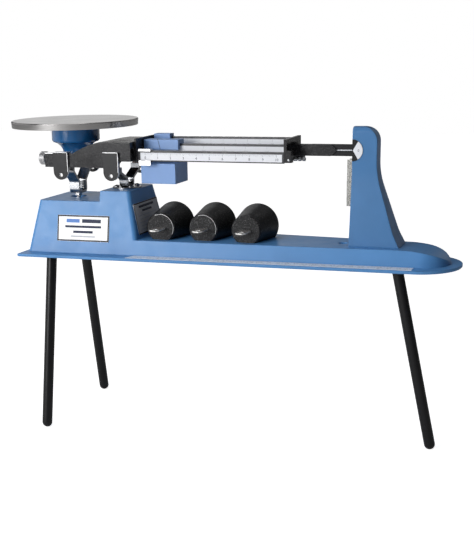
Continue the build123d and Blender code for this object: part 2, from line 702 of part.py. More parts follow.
with BuildPart() as pan_stirrup:
    add(plate_yz(stirrup_outline(STIRRUP_FOOT, (9.0, STIRRUP_FOOT), (8.5, 290.5),
                                 (STIRRUP_TOP_HALF, 303.0), (STIRRUP_TOP_HALF, CROSS_LOW + 1.0)),
                 PAN_X - HANGER_W / 2, PAN_X + HANGER_W / 2))
    add(block((PAN_X - HANGER_W, -30.0, CROSS_LOW), (PAN_X + HANGER_W, 30.0, CROSS_HIGH)), mode=Mode.SUBTRACT)
    with Locations((PAN_X, 0, STIRRUP_FOOT)):
        Cylinder(2.5, 8.0, mode=Mode.SUBTRACT)
save(pan_stirrup, "pan_stirrup")

with BuildPart() as front_pan_bearing:
    add(plate_xz(vee_block(PAN_X, CROSS_LOW, False), -KNIFE_Y - 2.4, -KNIFE_Y + 3.0))
pan_bearings = mirrored(front_pan_bearing.part)
save(pan_bearings, "pan_bearings")

FORK_HALF = 4.5
FORK_SLOT = 1.8
LINK_T = 3.0
PIN_R = 1.5
with BuildPart() as hanger_stem:
    with Locations((PAN_X, 0, (LINK_Z + 6.0 + 281.5) / 2)):
        Cylinder(2.45, 281.5 - LINK_Z - 6.0)
    add(block((PAN_X - 4.0, -FORK_HALF, LINK_Z - 5.0), (PAN_X + 4.0, FORK_HALF, LINK_Z + 8.0)))
    add(block((PAN_X - 5.0, -FORK_SLOT, LINK_Z - 6.0), (PAN_X + 5.0, FORK_SLOT, LINK_Z + 5.0)), mode=Mode.SUBTRACT)
    with BuildSketch(Plane.XZ):
        with Locations((PAN_X, LINK_Z)):
            Circle(PIN_R)
    extrude(amount=2 * FORK_HALF, both=True, mode=Mode.SUBTRACT)
save(hanger_stem, "hanger_stem")

with BuildPart() as stem_nuts:
    for nut_z in (272.6, STIRRUP_FOOT + STRAP_T / 2):
        with BuildSketch(Plane.XY.offset(nut_z)):
            with Locations((PAN_X, 0)):
                RegularPolygon(radius=4.4, side_count=6)
                Circle(2.5, mode=Mode.SUBTRACT)
        extrude(amount=STIRRUP_FOOT - STRAP_T / 2 - 272.6)
    split_top = block((PAN_X - 6.0, -6.0, 281.6), (PAN_X + 6.0, 6.0, 290.0))
    add(split_top, mode=Mode.SUBTRACT)
save(stem_nuts, "stem_nuts")

CUP_R = 28.4
CUP_NECK_R = 15.5
CUP_SIDE_Z = 337.5
PAN_Z = 362.2
PAN_T = 1.2
cup_top = PAN_Z - PAN_T - 0.05
with BuildPart() as pan_cup:
    with BuildSketch(Plane.XZ):
        with BuildLine():
            Polyline((PAN_X, CROSS_HIGH), (PAN_X + CUP_NECK_R, CROSS_HIGH))
            ThreePointArc((PAN_X + CUP_NECK_R, CROSS_HIGH), (PAN_X + 18.4, 331.2), (PAN_X + 26.8, 336.6))
            Polyline((PAN_X + 26.8, 336.6), (PAN_X + CUP_R, CUP_SIDE_Z + 1.0), (PAN_X + CUP_R, cup_top),
                     (PAN_X + 25.4, cup_top), (PAN_X + 25.4, 340.0), (PAN_X + 12.0, 328.0), (PAN_X, 328.0),
                     (PAN_X, CROSS_HIGH))
        make_face()
    revolve(axis=Axis((PAN_X, 0, 0), (0, 0, 1)))
    with Locations((PAN_X, 0, CROSS_HIGH)):
        Cylinder(2.2, 20.0, mode=Mode.SUBTRACT)
save(pan_cup, "pan_cup")

with BuildPart() as cup_screw:
    with Locations((PAN_X, 0, 324.0)):
        Cylinder(1.95, 9.0)
    with Locations((PAN_X, 0, 329.5)):
        Cylinder(4.0, 3.0)
save(cup_screw, "cup_screw")

PAN_R = PAN_D / 2
RIM_H = 7.4
with BuildPart() as pan:
    with BuildSketch(Plane.XZ):
        with BuildLine():
            Polyline((PAN_X, PAN_Z), (PAN_X + PAN_R - 0.8, PAN_Z), (PAN_X + PAN_R, PAN_Z - 0.8),
                     (PAN_X + PAN_R - 0.6, PAN_Z - RIM_H), (PAN_X + PAN_R - 0.6 - PAN_T, PAN_Z - RIM_H),
                     (PAN_X + PAN_R - PAN_T, PAN_Z - PAN_T), (PAN_X, PAN_Z - PAN_T), close=True)
        make_face()
    revolve(axis=Axis((PAN_X, 0, 0), (0, 0, 1)))
    with BuildSketch(Plane.XY.offset(PAN_Z - PAN_T - 4.0)):
        with Locations((PAN_X, 0)):
            Circle(25.0)
            Circle(23.8, mode=Mode.SUBTRACT)
    extrude(amount=4.0)
save(pan, "pan")

# ---------------------------------------------------------------- check link inside the pedestal
CEILING = PEDESTAL_Z - WALL
with BuildPart() as check_bracket:
    add(block((MAIN_X - 6.0, -FORK_HALF, CEILING - 2.5), (MAIN_X + 6.0, FORK_HALF, CEILING)))
    add(block((MAIN_X - 5.0, -FORK_HALF, LINK_Z - 5.0), (MAIN_X + 5.0, -FORK_SLOT, CEILING - 2.5)))
    add(block((MAIN_X - 5.0, FORK_SLOT, LINK_Z - 5.0), (MAIN_X + 5.0, FORK_HALF, CEILING - 2.5)))
    with BuildSketch(Plane.XZ):
        with Locations((MAIN_X, LINK_Z)):
            Circle(PIN_R)
    extrude(amount=2 * FORK_HALF, both=True, mode=Mode.SUBTRACT)
save(check_bracket, "check_bracket")


def link_pin(station):
    """Pin through a fork, with a thin head at each end."""
    with BuildPart() as pin:
        with BuildSketch(Plane.XZ.offset(-FORK_HALF)):
            with Locations((station, LINK_Z)):
                Circle(PIN_R)
        extrude(amount=2 * FORK_HALF)
        for low_y in (-FORK_HALF - 0.8, FORK_HALF):
            with BuildSketch(Plane.XZ.offset(-low_y - 0.8)):
                with Locations((station, LINK_Z)):
                    Circle(PIN_R + 1.0)
            extrude(amount=0.8)
    return pin


save(link_pin(MAIN_X), "check_pin")
save(link_pin(PAN_X), "stem_pin")

with BuildPart() as check_link:
    with BuildSketch(Plane.XZ.offset(-LINK_T / 2)):
        with Locations(((PAN_X + MAIN_X) / 2, LINK_Z)):
            SlotCenterToCenter(PIVOT_ARM, 8.0)
        with Locations((MAIN_X, LINK_Z)):
            Circle(PIN_R + 0.05, mode=Mode.SUBTRACT)
        with Locations((PAN_X, LINK_Z)):
            Circle(PIN_R + 0.3, mode=Mode.SUBTRACT)
    extrude(amount=LINK_T)
save(check_link, "check_link")

# ---------------------------------------------------------------- attachment weights
WEIGHT_FRONT_R = 17.3
WEIGHT_BACK_R = 24.4
WEIGHT_L = 45.7
WEIGHT_EDGE = 1.5
WEIGHT_AXIS = 13.5          # height of the axis above the flat that the weight rests on
HOOK_W = 12.0
HOOK_T = 1.6
HOOK_OUT = 22.0
HOOK_IN = 8.0
WEIGHTS = {"left_weight": (-69.1, -32.1), "middle_weight": (-19.0, -26.7), "right_weight": (32.1, -26.4)}

for weight_name, (weight_x, weight_y) in WEIGHTS.items():
    centre_z = DECK_Z + 0.05 + WEIGHT_AXIS
    lying = Plane(origin=(weight_x, weight_y, centre_z), x_dir=(1, 0, 0), z_dir=(0, 1, 0))
    with BuildPart() as weight:
        with BuildSketch(Plane.XZ):
            with BuildLine():
                Polyline((0, 0), (WEIGHT_FRONT_R - WEIGHT_EDGE, 0), (WEIGHT_FRONT_R, WEIGHT_EDGE),
                         (WEIGHT_BACK_R, WEIGHT_L - WEIGHT_EDGE), (WEIGHT_BACK_R - WEIGHT_EDGE, WEIGHT_L),
                         (0, WEIGHT_L), close=True)
            make_face()
        revolve(axis=Axis.Z)
        add(block((-WEIGHT_BACK_R, WEIGHT_AXIS, 0), (WEIGHT_BACK_R, 2 * WEIGHT_AXIS, WEIGHT_L)), mode=Mode.SUBTRACT)
        add(block((-HOOK_W / 2, -HOOK_T / 2, 0), (HOOK_W / 2, HOOK_T / 2, HOOK_IN)), mode=Mode.SUBTRACT)
    weight.part = lying.location * weight.part
    save(weight, weight_name)
    with BuildPart() as hook:
        with BuildSketch(Plane.XZ.offset(-HOOK_T / 2)):
            add(polygon([(-HOOK_W / 2, HOOK_IN), (HOOK_W / 2, HOOK_IN), (HOOK_W / 2, -HOOK_OUT + 4.0),
                         (HOOK_W / 2 - 3.0, -HOOK_OUT), (-HOOK_W / 2 + 3.0, -HOOK_OUT),
                         (-HOOK_W / 2, -HOOK_OUT + 4.0)]))
            with Locations((0, -HOOK_OUT + 6.5)):
                Circle(2.9, mode=Mode.SUBTRACT)
        extrude(amount=HOOK_T)
    hook.part = lying.location * hook.part
    save(hook, weight_name.replace("weight", "hook"))
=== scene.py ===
"""Looks of a triple beam balance on three rods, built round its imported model."""

import logging
import math
from dataclasses import dataclass, field
from enum import Enum
from typing import Optional, Sequence

import bmesh
import bpy
from mathutils import Matrix, Vector


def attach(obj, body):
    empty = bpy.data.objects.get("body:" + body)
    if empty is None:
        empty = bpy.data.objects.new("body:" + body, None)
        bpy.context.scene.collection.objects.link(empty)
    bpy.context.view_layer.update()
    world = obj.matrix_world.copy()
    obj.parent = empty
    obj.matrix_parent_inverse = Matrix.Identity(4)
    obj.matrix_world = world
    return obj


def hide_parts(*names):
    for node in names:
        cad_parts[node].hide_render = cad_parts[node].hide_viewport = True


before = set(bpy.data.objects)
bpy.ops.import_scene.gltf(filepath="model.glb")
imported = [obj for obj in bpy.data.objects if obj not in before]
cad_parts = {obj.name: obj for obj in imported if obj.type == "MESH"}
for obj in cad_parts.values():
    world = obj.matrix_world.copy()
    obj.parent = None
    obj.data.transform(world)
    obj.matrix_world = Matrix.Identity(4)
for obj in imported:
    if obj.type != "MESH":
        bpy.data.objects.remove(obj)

LOG = logging.getLogger("balance")
MM = 0.001
Colour = tuple[float, float, float]
Point = tuple[float, float, float]
Pair = tuple[float, float]
Socket = bpy.types.NodeSocket
Material = bpy.types.Material
Object = bpy.types.Object

# Bands of noise values that the finishes use; most of a noise lies in the first one.
NOISE_BAND = (0.3, 0.7)
# The next band breaks up the lighter paint on rounded edges: partly edge wear, partly painted
# highlight.
EDGE_WEAR_HIGHLIGHT_BAND = (0.45, 0.62)
GRIT_BAND = (0.54, 0.66)
# Agreement of the true and the rounded normal: at an edge, and on the open surface.
EDGE_BAND = (0.80, 0.97)
# Noise scales, in waves for each metre.
GLOSS_SCALE = 75.0
GRIT_SCALE = 650.0
EDGE_WEAR_HIGHLIGHT_SCALE = 420.0
TOOL_LINE_SCALE = 2600.0
HANDLING_SCALE = 34.0
SPECKLE_SCALE = 1100.0
RANGE_SOCKETS = ("From Min", "From Max", "To Min", "To Max")
# How slowly a metal's lines change along the grain: straight, and for each radian of a turn.
ALONG_GRAIN = 0.03
ROUND_GRAIN = 0.0012


# ---------------------------------------------------------------- node graphs of the finishes
class Grain(Enum):
    """Which way the fine lines of a worked metal run."""

    NONE = "none"
    ALONG_X = "along_x"
    ALONG_Z = "along_z"
    ROUND_Z = "round_z"


@dataclass
class Graph:
    """Node tree of one finish, with short calls for the nodes that the finishes share."""

    name: str
    material: Material = field(init=False)
    shader: bpy.types.Node = field(init=False)
    place: bpy.types.Node = field(init=False)

    def __post_init__(self) -> None:
        """Make the material and keep its shader and its object coordinates."""
        self.material = bpy.data.materials.new(self.name)
        self.material.use_nodes = True
        self.shader = self.material.node_tree.nodes["Principled BSDF"]
        self.place = self.add("ShaderNodeTexCoord")

    def add(self, kind: str, **settings: object) -> bpy.types.Node:
        """Add a node.

        Args:
            kind: Blender's name of the node type.
            settings: attributes to set on it.

        Returns:
            The new node.
        """
        node = self.material.node_tree.nodes.new(kind)
        for key, value in settings.items():
            setattr(node, key, value)
        return node

    def join(self, source: Socket, target: Socket) -> None:
        """Link one socket to another."""
        self.material.node_tree.links.new(source, target)

    def feed(self, name: str, source: Socket) -> None:
        """Link a socket to one of the shader's own inputs."""
        self.join(source, self.shader.inputs[name])

    def centred(self, centre: Point, stretch: Point = (1.0, 1.0, 1.0)) -> Socket:
        """Object coordinates measured from a point.

        Args:
            centre: the point, in metres.
            stretch: factor on each axis.

        Returns:
            The socket with the coordinates.
        """
        mapping = self.add("ShaderNodeMapping")
        mapping.inputs["Location"].default_value = tuple(-c * s for c, s in zip(centre, stretch))
        mapping.inputs["Scale"].default_value = stretch
        self.join(self.place.outputs["Object"], mapping.inputs["Vector"])
        return mapping.outputs["Vector"]

    def noise(self, scale: float, detail: float = 3.0, roughness: float = 0.55,
              source: Optional[Socket] = None) -> Socket:
        """Soft noise.

        Args:
            scale: waves for each metre.
            detail: octaves.
            roughness: strength of the finer octaves.
            source: coordinates; the object's own when left out.

        Returns:
            The socket with values about one half.
        """
        node = self.add("ShaderNodeTexNoise")
        node.inputs["Scale"].default_value = scale
        node.inputs["Detail"].default_value = detail
        node.inputs["Roughness"].default_value = roughness
        self.join(source or self.place.outputs["Object"], node.inputs["Vector"])
        return node.outputs["Fac"]

    def remap(self, value: Socket, low: float, high: float, to_low: float,
              to_high: float) -> Socket:
        """Value taken from one range to another and held inside it."""
        node = self.add("ShaderNodeMapRange", clamp=True)
        for key, number in zip(RANGE_SOCKETS, (low, high, to_low, to_high)):
            node.inputs[key].default_value = number
        self.join(value, node.inputs["Value"])
        return node.outputs["Result"]

    def uneven(self, low: float, high: float, scale: float, detail: float = 3.0,
               roughness: float = 0.55) -> Socket:
        """Noise spread between two values."""
        return self.remap(self.noise(scale, detail, roughness), *NOISE_BAND, low, high)

    def math(self, operation: str, first: Socket,
             second: Socket | float) -> Socket:
        """Arithmetic on one socket and another socket or a number."""
        node = self.add("ShaderNodeMath", operation=operation, use_clamp=False)
        self.join(first, node.inputs[0])
        if isinstance(second, (int, float)):
            node.inputs[1].default_value = second
        else:
            self.join(second, node.inputs[1])
        return node.outputs[0]

    def mix(self, mask: Socket, first: object, second: object) -> Socket:
        """Colour that goes from the first to the second as the mask goes from 0 to 1."""
        node = self.add("ShaderNodeMix", data_type="RGBA")
        self.join(mask, node.inputs["Factor"])
        for key, colour in ((6, first), (7, second)):
            if isinstance(colour, tuple):
                node.inputs[key].default_value = (*colour, 1.0)
            else:
                self.join(colour, node.inputs[key])
        return node.outputs[2]

    def round_edges(self, radius: float) -> Socket:
        """Normal that turns smoothly round a sharp edge."""
        node = self.add("ShaderNodeBevel", samples=4)
        node.inputs["Radius"].default_value = radius
        return node.outputs["Normal"]

    def edge_mask(self, soft_normal: Socket, low: float, high: float) -> Socket:
        """One beside a sharp edge and zero on the open surface."""
        geometry = self.add("ShaderNodeNewGeometry")
        dot = self.add("ShaderNodeVectorMath", operation="DOT_PRODUCT")
        self.join(soft_normal, dot.inputs[0])
        self.join(geometry.outputs["Normal"], dot.inputs[1])
        return self.remap(dot.outputs["Value"], high, low, 0.0, 1.0)

    def bump(self, height: Socket, strength: float, distance: float,
             under: Optional[Socket] = None) -> Socket:
        """Normal with fine relief.

        Args:
            height: the relief.
            strength: how strongly it shows.
            distance: depth in metres.
            under: the normal it is laid on.

        Returns:
            The socket with the normal.
        """
        node = self.add("ShaderNodeBump")
        node.inputs["Strength"].default_value = strength
        node.inputs["Distance"].default_value = distance
        self.join(height, node.inputs["Height"])
        if under is not None:
            self.join(under, node.inputs["Normal"])
        return node.outputs["Normal"]

    def set(self, **values: float) -> None:
        """Set the shader's own sockets, named with underscores for spaces."""
        for key, value in values.items():
            self.shader.inputs[key.replace("_", " ")].default_value = value


@dataclass(frozen=True)
class Enamel:
    """Sprayed paint: slight colour drift, fine peel, rounded edges painted lighter, partly as edge
    wear and partly as painted highlight.
    """

    name: str
    colour: Colour
    drift: float = 0.10
    roughness: float = 0.36
    peel_scale: float = 900.0
    peel: float = 0.10
    edge: float = 0.0007
    # Colour and strength of the lighter rounded edges: partly edge wear, partly painted highlight.
    rubbed: Colour = (0.55, 0.56, 0.58)
    rub: float = 0.25
    coat: float = 0.0
    sheen_scale: float = 26.0
    grit: float = 0.0
    specular: float = 0.5

    def build(self) -> Material:
        """Make the material."""
        graph = Graph(self.name)
        dark = tuple(c * (1 - self.drift) for c in self.colour)
        light = tuple(min(1.0, c * (1 + self.drift)) for c in self.colour)
        paint = graph.mix(graph.uneven(0.0, 1.0, self.sheen_scale), dark, light)
        if self.grit:
            spots = graph.remap(graph.noise(GRIT_SCALE, 3.0, 0.7), *GRIT_BAND, 0.0, self.grit)
            pale = tuple(min(1.0, c * 4 + 0.08) for c in self.colour)
            paint = graph.mix(spots, paint, pale)
        soft = graph.round_edges(self.edge)
        # Lighter colour on the rounded edges, broken by noise: partly edge wear, partly painted
        # highlight.
        ragged = graph.remap(graph.noise(EDGE_WEAR_HIGHLIGHT_SCALE, 4.0, 0.7), *EDGE_WEAR_HIGHLIGHT_BAND, 0.0, self.rub)
        mask = graph.math("MULTIPLY", graph.edge_mask(soft, *EDGE_BAND), ragged)
        graph.feed("Base Color", graph.mix(mask, paint, self.rubbed))
        gloss = graph.uneven(self.roughness - 0.05, self.roughness + 0.07, GLOSS_SCALE, 5.0, 0.65)
        graph.feed("Roughness", gloss)
        relief = graph.bump(graph.noise(self.peel_scale, 2.0), self.peel, 0.0002, soft)
        graph.feed("Normal", relief)
        graph.set(Coat_Weight=self.coat, Coat_Roughness=0.12, Specular_IOR_Level=self.specular)
        return graph.material


@dataclass(frozen=True)
class Metal:
    """Bare or plated metal with fine tool lines, light scratches and handling marks."""

    name: str
    colour: Colour
    roughness: float = 0.25
    grain: Grain = Grain.NONE
    centre: Point = (0.0, 0.0, 0.0)
    lines: float = 0.35
    edge: float = 0.0004
    smudge: float = 0.12
    speckle: float = 0.0

    def coordinates(self, graph: Graph) -> Socket:
        """Coordinates that change fast across the grain and slowly along it."""
        if self.grain is Grain.ALONG_X:
            return graph.centred(self.centre, (ALONG_GRAIN, 1.0, 1.0))
        if self.grain is Grain.ALONG_Z:
            return graph.centred(self.centre, (1.0, 1.0, ALONG_GRAIN))
        if self.grain is Grain.ROUND_Z:
            split = graph.add("ShaderNodeSeparateXYZ")
            graph.join(graph.centred(self.centre), split.inputs[0])
            squares = [graph.math("MULTIPLY", split.outputs[i], split.outputs[i]) for i in (0, 1)]
            radius = graph.math("SQRT", graph.math("ADD", *squares), 0.0)
            angle = graph.math("ARCTAN2", split.outputs[1], split.outputs[0])
            turn = graph.math("MULTIPLY", angle, ROUND_GRAIN)
            merged = graph.add("ShaderNodeCombineXYZ")
            for target, source in enumerate((radius, turn, split.outputs[2])):
                graph.join(source, merged.inputs[target])
            return merged.outputs[0]
        return graph.place.outputs["Object"]

    def build(self) -> Material:
        """Make the material."""
        graph = Graph(self.name)
        worked = graph.noise(TOOL_LINE_SCALE, 3.0, 0.6, self.coordinates(graph))
        marks = graph.noise(HANDLING_SCALE, 6.0, 0.7)
        tint = graph.remap(marks, 0.3, 0.75, 1 - self.smudge, 1.0)
        shade = graph.add("ShaderNodeVectorMath", operation="SCALE")
        shade.inputs[0].default_value = self.colour
        lines = graph.remap(worked, *NOISE_BAND, 1 - 0.18 * self.lines, 1.0)
        lined = graph.math("MULTIPLY", tint, lines)
        if self.speckle:
            grains = graph.remap(graph.noise(SPECKLE_SCALE, 2.0), 0.42, 0.58, 1 - self.speckle, 1.0)
            lined = graph.math("MULTIPLY", lined, grains)
        graph.join(lined, shade.inputs["Scale"])
        graph.feed("Base Color", shade.outputs[0])
        rough = graph.math("ADD", graph.remap(worked, *NOISE_BAND, 0.0, 0.10 * self.lines),
                           graph.remap(marks, 0.35, 0.7, self.roughness, self.roughness + 0.08))
        graph.feed("Roughness", rough)
        relief = graph.bump(worked, 0.12 * self.lines, 0.0001, graph.round_edges(self.edge))
        graph.feed("Normal", relief)
        graph.set(Metallic=1.0)
        return graph.material


@dataclass(frozen=True)
class ShearedPlate:
    """Painted sheet whose cut edges are left bare."""

    name: str
    colour: Colour
    bare: Colour = (0.93, 0.93, 0.92)
    roughness: float = 0.34
    broad_axis: int = 1

    def build(self) -> Material:
        """Make the material, bare where the surface faces away from the broad sides."""
        graph = Graph(self.name)
        split = graph.add("ShaderNodeSeparateXYZ")
        graph.join(graph.add("ShaderNodeNewGeometry").outputs["True Normal"], split.inputs[0])
        flat = graph.math("ABSOLUTE", split.outputs[self.broad_axis], 0.0)
        ragged = graph.remap(graph.noise(520.0, 4.0, 0.7), 0.25, 0.75, -0.25, 0.25)
        cut = graph.remap(graph.math("ADD", flat, ragged), 0.45, 0.75, 1.0, 0.0)
        soft = graph.round_edges(0.0003)
        scuffs = graph.remap(graph.noise(60.0, 6.0, 0.75), 0.55, 0.8, 0.0, 0.35)
        paint = graph.mix(scuffs, self.colour, tuple(c * 1.8 + 0.01 for c in self.colour))
        graph.feed("Base Color", graph.mix(cut, paint, self.bare))
        graph.feed("Metallic", graph.math("MULTIPLY", cut, 0.3))
        gloss = graph.uneven(self.roughness - 0.04, self.roughness + 0.08, GLOSS_SCALE, 5.0, 0.65)
        graph.feed("Roughness", gloss)
        relief = graph.bump(graph.noise(1000.0, 2.0), 0.12, 0.0002, soft)
        graph.feed("Normal", relief)
        graph.set(Specular_IOR_Level=0.32)
        return graph.material


@dataclass(frozen=True)
class Ink:
    """Printed ink or printed sheet, slightly uneven."""

    name: str
    colour: Colour
    roughness: float = 0.4
    unevenness: float = 0.06
    coat: float = 0.0
    specular: float = 0.22

    def build(self) -> Material:
        """Make the material."""
        graph = Graph(self.name)
        drift = graph.uneven(0.0, 1.0, 140.0, 5.0, 0.7)
        dark = tuple(c * (1 - self.unevenness) for c in self.colour)
        graph.feed("Base Color", graph.mix(drift, dark, self.colour))
        gloss = graph.uneven(self.roughness - 0.04, self.roughness + 0.06, 300.0)
        graph.feed("Roughness", gloss)
        graph.feed("Normal", graph.bump(graph.noise(1400.0, 2.0), 0.05, 0.0001))
        graph.set(Coat_Weight=self.coat, Coat_Roughness=0.1, Specular_IOR_Level=self.specular)
        return graph.material


PAN_AXIS: Point = (-0.190, 0.0, 0.362)


@dataclass
class Palette:
    """Every finish of the balance, made once."""

    body: Material = field(init=False)
    column: Material = field(init=False)
    knob: Material = field(init=False)
    poise: Material = field(init=False)
    cup: Material = field(init=False)
    casting: Material = field(init=False)
    guard: Material = field(init=False)
    beam: Material = field(init=False)
    scale: Material = field(init=False)
    ink: Material = field(init=False)
    faint_ink: Material = field(init=False)
    blue_ink: Material = field(init=False)
    black: Material = field(init=False)
    foil: Material = field(init=False)
    label: Material = field(init=False)
    steel: Material = field(init=False)
    chrome: Material = field(init=False)
    nickel: Material = field(init=False)
    spun: Material = field(init=False)
    aluminium: Material = field(init=False)
    damper: Material = field(init=False)
    rod: Material = field(init=False)
    weight: Material = field(init=False)
    hook: Material = field(init=False)
    stone: Material = field(init=False)
    magnet: Material = field(init=False)

    def __post_init__(self) -> None:
        """Build the finishes."""
        finishes = {
            # Each enamel's lighter edge colour is partly edge wear and partly a painted highlight
            # on its rounded edges.
            "body": Enamel("body_paint", (0.088, 0.262, 0.560), 0.05, 0.36, edge=0.0014,
                           rubbed=(0.20, 0.40, 0.70), rub=0.6, specular=0.36),
            # The column's paint is the body's blue made darker: painted shade on the column.
            "column": Enamel("column_paint", (0.062, 0.195, 0.425), 0.06, 0.34, edge=0.0014,
                             rubbed=(0.16, 0.34, 0.62), rub=0.6, specular=0.26),
            "poise": Enamel("poise_paint", (0.19, 0.34, 0.66), 0.05, 0.40, edge=0.0005,
                            rubbed=(0.28, 0.42, 0.66), rub=0.5),
            "cup": Enamel("cup_gloss", (0.014, 0.120, 0.330), 0.08, 0.16, peel=0.04, edge=0.0008,
                          rubbed=(0.05, 0.12, 0.25), rub=0.3, coat=0.6),
            "casting": Enamel("casting_enamel", (0.012, 0.012, 0.014), 0.35, 0.24, 420.0, 0.60,
                              0.0011, (0.34, 0.34, 0.35), 0.8, grit=0.25, specular=0.30),
            "guard": ShearedPlate("guard_enamel", (0.010, 0.010, 0.012)),
            "beam": Enamel("beam_enamel", (0.040, 0.040, 0.048), 0.15, 0.24, edge=0.0005, rub=0.3,
                           rubbed=(0.3, 0.3, 0.32), coat=0.3),
            "scale": Ink("scale_enamel", (0.83, 0.85, 0.90), 0.30, 0.03, 0.3),
            "ink": Ink("scale_ink", (0.030, 0.040, 0.080), 0.5, 0.2),
            "faint_ink": Ink("fine_ink", (0.560, 0.575, 0.620), 0.5, 0.2),
            "blue_ink": Ink("label_blue", (0.10, 0.24, 0.62), 0.4, 0.1),
            "black": Ink("black_print", (0.010, 0.010, 0.012), 0.35, 0.2),
            "label": Ink("label_face", (0.90, 0.91, 0.93), 0.28, 0.04, 0.4),
            "foil": Ink("label_foil", (0.62, 0.62, 0.64), 0.30, 0.10),
            "steel": Metal("ground_steel", (0.56, 0.55, 0.54), 0.26),
            "chrome": Metal("bright_plate", (0.42, 0.43, 0.45), 0.20, lines=0.25, smudge=0.35),
            "nickel": Metal("satin_nickel", (0.66, 0.66, 0.67), 0.26, Grain.ALONG_X, smudge=0.08),
            "spun": Metal("spun_stainless", (0.47, 0.46, 0.455), 0.15, Grain.ROUND_Z, PAN_AXIS,
                          0.3, 0.0008, 0.05),
            "knob": Metal("knurled_plate", (0.40, 0.40, 0.41), 0.38, Grain.NONE, lines=0.6),
            "aluminium": Metal("plain_aluminium", (0.50, 0.50, 0.51), 0.30, Grain.ALONG_Z,
                               lines=0.5),
            "damper": Metal("damper_plate", (0.50, 0.50, 0.48), 0.42, Grain.NONE, speckle=0.7),
            "rod": Enamel("rod_coat", (0.006, 0.006, 0.007), 0.2, 0.30, 800.0, 0.15, 0.0005,
                          (0.10, 0.10, 0.10), 0.3, specular=0.3),
            "weight": Enamel("weight_coat", (0.008, 0.008, 0.009), 0.3, 0.42, 1300.0, 0.45, 0.0006,
                             (0.62, 0.62, 0.62), 0.9, grit=0.8, specular=0.25),
            "hook": ShearedPlate("hook_steel", (0.16, 0.15, 0.145), (0.80, 0.79, 0.77), 0.22, 2),
            "stone": Enamel("bearing_stone", (0.16, 0.06, 0.045), 0.4, 0.14, edge=0.0003, rub=0.0,
                            coat=0.5),
            "magnet": Metal("magnet_black", (0.16, 0.16, 0.17), 0.45),
        }
        for name, finish in finishes.items():
            setattr(self, name, finish.build())


# ---------------------------------------------------------------- mesh helpers
def plain_mesh(holder: Object) -> bpy.types.Mesh:
    """Evaluated mesh of an object, which is removed."""
    bpy.context.view_layer.update()
    graph = bpy.context.evaluated_depsgraph_get()
    mesh = bpy.data.meshes.new_from_object(holder.evaluated_get(graph))
    bpy.data.objects.remove(holder)
    return mesh


def dress(node: str, material: Material) -> None:
    """Put a finish on a carried-over node."""
    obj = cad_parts[node]
    if not obj.material_slots:
        obj.data.materials.append(material)
    for slot in obj.material_slots:
        slot.material = material


def dress_all(coats: dict[str, Material]) -> None:
    """Put finishes on several carried-over nodes."""
    for node, coat in coats.items():
        dress(node, coat)


def mesh_object(name: str, mesh: bpy.types.Mesh) -> Object:
    """Put a mesh in the scene as an object at the origin."""
    obj = bpy.data.objects.new(name, mesh)
    bpy.context.scene.collection.objects.link(obj)
    return obj


def from_bmesh(name: str, work: bmesh.types.BMesh, smooth: bool = False) -> Object:
    """Object from a bmesh, which is freed, with its faces turned outwards."""
    bmesh.ops.remove_doubles(work, verts=work.verts, dist=1e-7)
    bmesh.ops.recalc_face_normals(work, faces=work.faces)
    mesh = bpy.data.meshes.new(name)
    work.to_mesh(mesh)
    work.free()
    for face in mesh.polygons:
        face.use_smooth = smooth
    return mesh_object(name, mesh)


def bevelled_block(name: str, low: Point, high: Point, bevel: float,
                   matrix: Matrix = Matrix()) -> Object:
    """Box between two corners with small chamfers.

    Args:
        name: object name.
        low: lowest corner in millimetres.
        high: highest corner in millimetres.
        bevel: chamfer in millimetres.
        matrix: placing, in metres, applied to the mesh.

    Returns:
        The object.
    """
    work = bmesh.new()
    bmesh.ops.create_cube(work, size=1.0)
    size = [(b - a) * MM for a, b in zip(low, high)]
    centre = [(a + b) / 2 * MM for a, b in zip(low, high)]
    bmesh.ops.scale(work, vec=size, verts=work.verts)
    bmesh.ops.translate(work, vec=centre, verts=work.verts)
    if bevel:
        bmesh.ops.bevel(work, geom=work.edges, offset=bevel * MM, segments=1, affect="EDGES")
    bmesh.ops.transform(work, matrix=matrix, verts=work.verts)
    return from_bmesh(name, work)


def prism(name: str, outline: Sequence[Pair], depth: float, matrix: Matrix) -> Object:
    """Flat shape with a thickness.

    Args:
        name: object name.
        outline: corners in the plane of the matrix, in millimetres, anticlockwise.
        depth: thickness along the plane's normal, in millimetres.
        matrix: the plane, in metres.

    Returns:
        The object.
    """
    work = bmesh.new()
    floor = [work.verts.new((x * MM, y * MM, 0.0)) for x, y in outline]
    roof = [work.verts.new((x * MM, y * MM, depth * MM)) for x, y in outline]
    work.faces.new(list(reversed(floor)))
    work.faces.new(roof)
    count = len(outline)
    for i in range(count):
        j = (i + 1) % count
        work.faces.new((floor[i], floor[j], roof[j], roof[i]))
    bmesh.ops.transform(work, matrix=matrix, verts=work.verts)
    return from_bmesh(name, work)


def lathe(name: str, profile: Sequence[Pair], matrix: Matrix, steps: int = 48) -> Object:
    """Round shape turned from a profile.

    Args:
        name: object name.
        profile: pairs of height and radius in millimetres, from one pole to the other.
        matrix: placing, in metres; the profile's axis is its Z axis.
        steps: divisions of the turn.

    Returns:
        The object.
    """
    work = bmesh.new()
    rings = []
    for height, radius in profile:
        if radius < 1e-6:
            rings.append([work.verts.new((0.0, 0.0, height * MM))])
            continue
        rings.append([work.verts.new((radius * MM * math.cos(2 * math.pi * k / steps),
                                      radius * MM * math.sin(2 * math.pi * k / steps), height * MM))
                      for k in range(steps)])
    for lower, upper in zip(rings, rings[1:]):
        for k in range(steps):
            corners = [lower[k % len(lower)], lower[(k + 1) % len(lower)],
                       upper[(k + 1) % len(upper)], upper[k % len(upper)]]
            unique = list(dict.fromkeys(corners))
            if len(unique) > 2:
                work.faces.new(unique)
    bmesh.ops.transform(work, matrix=matrix, verts=work.verts)
    return from_bmesh(name, work, smooth=True)


